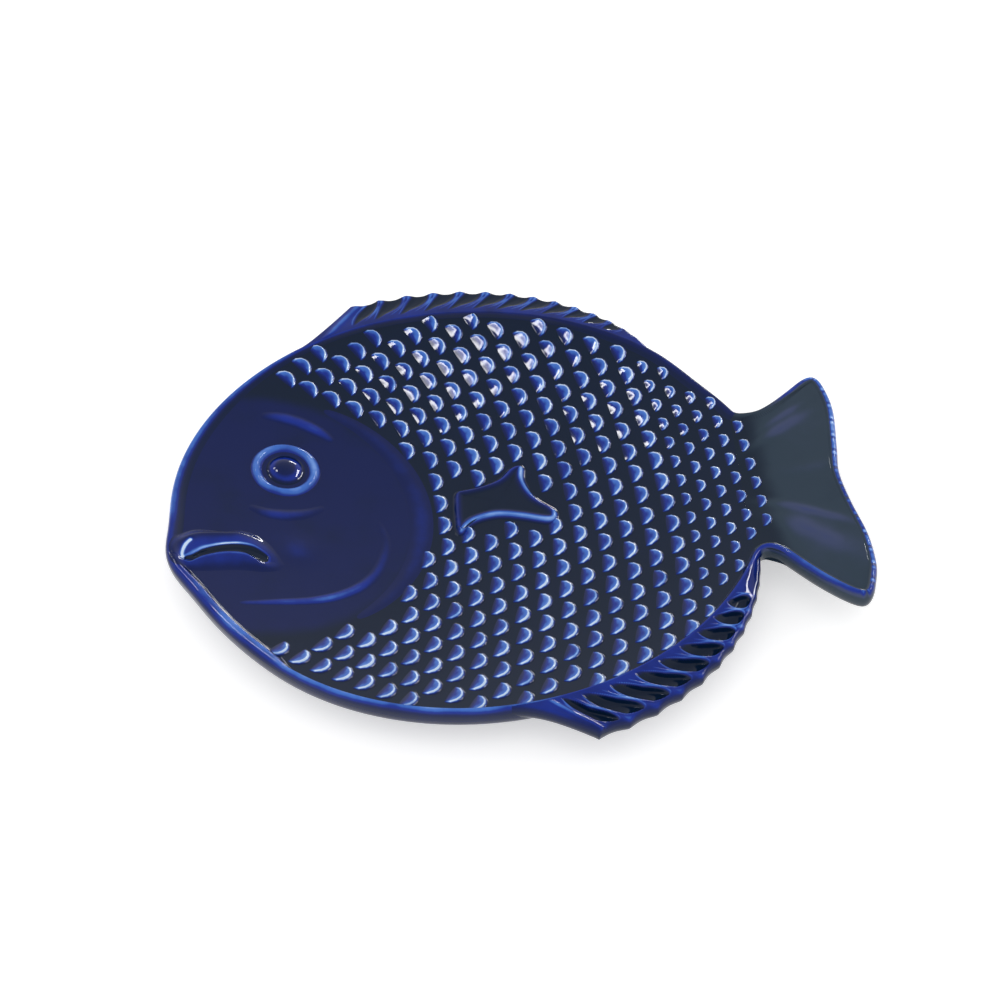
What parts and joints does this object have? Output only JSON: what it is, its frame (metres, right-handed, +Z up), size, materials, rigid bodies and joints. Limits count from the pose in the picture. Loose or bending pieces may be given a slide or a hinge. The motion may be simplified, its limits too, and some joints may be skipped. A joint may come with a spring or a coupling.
{
  "type": "fish shaped platter",
  "caption": "Shallow fish shaped serving platter in cobalt glazed stoneware, its face, fins and scales in relief, on a foot ring.",
  "frame": {"origin": "on the table plane, under the middle of the platter's bounding box", "axes": "+X from the nose to the tail, +Y from the belly to the back, +Z up out of the well"},
  "size_m": [0.2574, 0.2302, 0.0281],
  "materials": {
    "glaze": "glossy cobalt blue, nearly black where it pools",
    "bare_clay": "matt unglazed buff stoneware"
  },
  "bodies": {
    "root": {"well": "glaze", "rim": "glaze", "tail_fin": "glaze", "dorsal_fin": "glaze", "dorsal_rays": "glaze", "anal_fin": "glaze", "anal_rays": "glaze", "pectoral_fin": "glaze", "eye_ring": "glaze", "pupil": "glaze", "upper_lip": "glaze", "lower_lip": "glaze", "brow_ridge": "glaze", "cheek_ridge": "glaze", "jaw_ridge": "glaze", "gill_ridge": "glaze", "scales": "glaze", "tail_scales": "glaze", "foot_ring": "bare_clay"}
  },
  "joints": []
}
